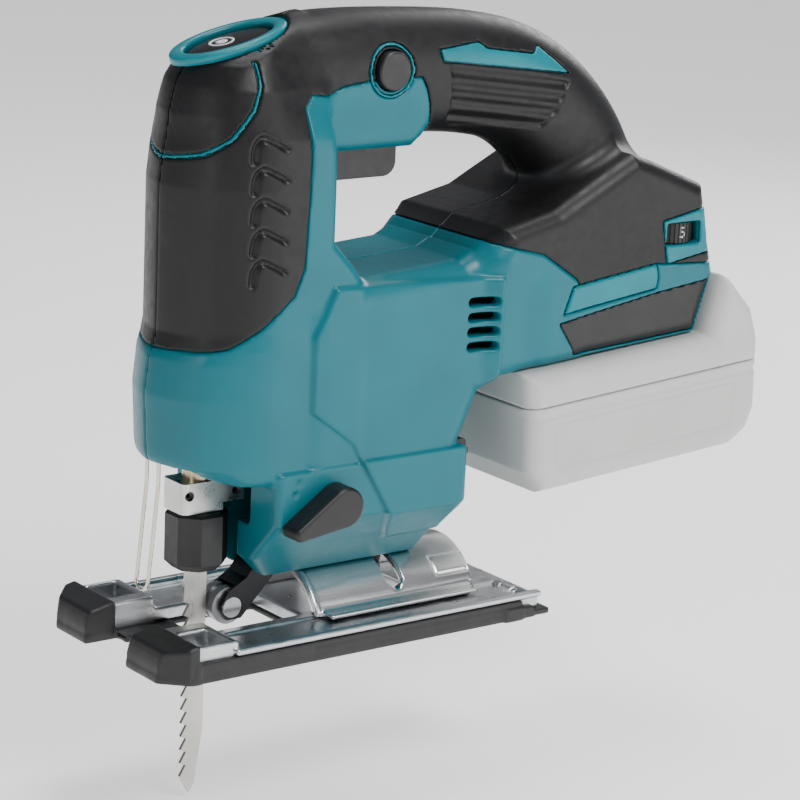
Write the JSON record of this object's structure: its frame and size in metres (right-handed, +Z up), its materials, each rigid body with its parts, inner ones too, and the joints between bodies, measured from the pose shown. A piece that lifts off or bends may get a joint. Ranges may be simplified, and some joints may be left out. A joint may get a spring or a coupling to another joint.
{
  "type": "jigsaw power tool",
  "caption": "Cordless top-handle jigsaw with a tilting shoe, orbital-action roller, tool-less blade clamp and slide-on battery pack.",
  "frame": {"origin": "in the plane of the sole, on the blade's centre line", "axes": "+X to the rear, along the shoe from the blade to the battery; +Y to the tool's right-hand side; +Z up along the blade"},
  "size_m": [0.2422, 0.0764, 0.254],
  "materials": {
    "teal_shell": "satin moulded nylon",
    "soft_grip": "satin elastomer overmould",
    "teal_trim": "satin moulded trim",
    "black_plastic": "fine-textured black plastic",
    "shoe_plastic": "satin black plastic sole cover",
    "trigger_plastic": "fine-textured dark plastic",
    "lever_plastic": "satin dark plastic",
    "gloss_button": "glossy black plastic",
    "dark_screw": "blackened steel",
    "bright_wire": "drawn steel wire",
    "bronze": "sintered bronze",
    "cast_aluminium": "as-cast aluminium",
    "bearing_steel": "ground bright steel",
    "gear_steel": "machined steel",
    "lamination_steel": "stacked laminations",
    "copper": "enamelled copper winding",
    "plunger_steel": "oiled bronze-toned steel",
    "blade_steel": "ground and set saw steel",
    "clamp_metal": "cast and machined clamp",
    "blackened_steel": "blackened forged steel",
    "green_board": "potted circuit board",
    "contact_block": "contact block",
    "shoe_metal": "die-cast and pressed shoe",
    "saddle_metal": "bright pressed saddle",
    "pack_plastic": "pale grey moulded case",
    "cell_wrap": "shrink-wrapped cell",
    "pack_latch": "grey moulded latch"
  },
  "bodies": {
    "tool": {"left_housing": "teal_shell", "right_housing": "teal_shell", "left_grip": "soft_grip", "right_grip": "soft_grip", "side_trims": "teal_trim", "rail_panels": "black_plastic", "dial_frame": "teal_trim", "housing_screws": "dark_screw", "top_bezel": "teal_trim", "wire_guard": "bright_wire", "plunger_bushes": "bronze", "gear_housing": "cast_aluminium", "crank_bearing": "bearing_steel", "front_motor_bearing": "bearing_steel", "rear_motor_bearing": "bearing_steel", "motor_stator": "lamination_steel", "stator_windings": "copper", "motor_end_plate": "cast_aluminium", "roller_arm_pin": "bearing_steel", "trigger_spring": "bright_wire", "power_switch": "black_plastic", "controller_board": "green_board", "battery_contacts": "contact_block", "shoe_bolt": "dark_screw", "hex_key": "blackened_steel", "hex_key_clips": "black_plastic"},
    "plunger": {"plunger": "plunger_steel", "scotch_yoke": "gear_steel", "blade": "blade_steel", "clamp_block": "clamp_metal", "clamp_screws": "dark_screw"},
    "sleeve": {"clamp_sleeve": "black_plastic"},
    "crank": {"crank_gear": "gear_steel", "crank_pin": "bearing_steel", "crank_shaft": "gear_steel", "counterweight": "gear_steel"},
    "rotor": {"motor_shaft": "bearing_steel", "pinion": "gear_steel", "rotor_core": "lamination_steel", "cooling_fan": "black_plastic"},
    "roller_arm": {"roller_arm": "blackened_steel", "roller_pin": "bearing_steel"},
    "roller": {"roller": "gear_steel"},
    "lever": {"orbital_lever": "lever_plastic", "orbital_cam": "gear_steel"},
    "trigger": {"trigger": "trigger_plastic"},
    "lock": {"lock_button": "trigger_plastic"},
    "top_button": {"mode_button": "gloss_button"},
    "dial": {"speed_dial": "black_plastic"},
    "base": {"cover_plate": "shoe_plastic", "shoe_plate": "shoe_metal", "shoe_rivets": "bearing_steel", "bevel_saddle": "saddle_metal"},
    "battery": {"battery_lower_case": "pack_plastic", "battery_upper_case": "pack_plastic", "battery_cells": "cell_wrap"},
    "latch": {"battery_latch": "pack_latch"}
  },
  "joints": [
    {"name": "plunger_stroke", "type": "slide", "parent": "tool", "child": "plunger", "axis": [0, 0, 1], "range_m": [0, 0.026]},
    {"name": "sleeve_turn", "type": "hinge", "parent": "plunger", "child": "sleeve", "pos_m": [-0.0008, 0, 0.034], "axis": [0, 0, 1], "range_deg": [0, 35], "stiffness_Nm_per_rad": 0.05},
    {"name": "crank_turn", "type": "hinge", "parent": "tool", "child": "crank", "pos_m": [0.017, 0, 0.1124], "axis": [1, 0, 0], "continuous": true},
    {"name": "rotor_spin", "type": "hinge", "parent": "tool", "child": "rotor", "pos_m": [0.06, 0, 0.088], "axis": [1, 0, 0], "continuous": true},
    {"name": "roller_arm_swing", "type": "hinge", "parent": "tool", "child": "roller_arm", "pos_m": [0.03, 0, 0.029], "axis": [0, 1, 0], "range_deg": [-4, 0]},
    {"name": "roller_spin", "type": "hinge", "parent": "roller_arm", "child": "roller", "pos_m": [0.0098, 0, 0.0104], "axis": [0, 1, 0], "continuous": true},
    {"name": "orbital_select", "type": "hinge", "parent": "tool", "child": "lever", "pos_m": [0.031, -0.034, 0.049], "axis": [0, 1, 0], "range_deg": [0, 85]},
    {"name": "trigger_pull", "type": "slide", "parent": "tool", "child": "trigger", "axis": [0, 0, 1], "range_m": [0, 0.006], "stiffness_N_per_m": 700, "deforming": ["trigger_spring"]},
    {"name": "lock_press", "type": "slide", "parent": "tool", "child": "lock", "axis": [0, 1, 0], "range_m": [0, 0.003]},
    {"name": "top_press", "type": "slide", "parent": "tool", "child": "top_button", "axis": [0.2588, 0, -0.9659], "range_m": [0, 0.001], "stiffness_N_per_m": 1500},
    {"name": "dial_turn", "type": "hinge", "parent": "tool", "child": "dial", "pos_m": [0.1712, -0.022, 0.1241], "axis": [0, 0, 1], "range_deg": [-200, 50]},
    {"name": "base_tilt", "type": "hinge", "parent": "tool", "child": "base", "pos_m": [0.05, 0, 0], "axis": [1, 0, 0], "range_deg": [-45, 45]},
    {"name": "battery_slide", "type": "slide", "parent": "tool", "child": "battery", "axis": [0.9976, 0, 0.0698], "range_m": [0, 0.1]},
    {"name": "latch_press", "type": "slide", "parent": "battery", "child": "latch", "axis": [0.0698, 0, -0.9976], "range_m": [0, 0.003], "stiffness_N_per_m": 600}
  ],
  "couplings": [
    {"joint": "rotor_spin", "follows": "crank_turn", "ratio": -5.1}
  ]
}
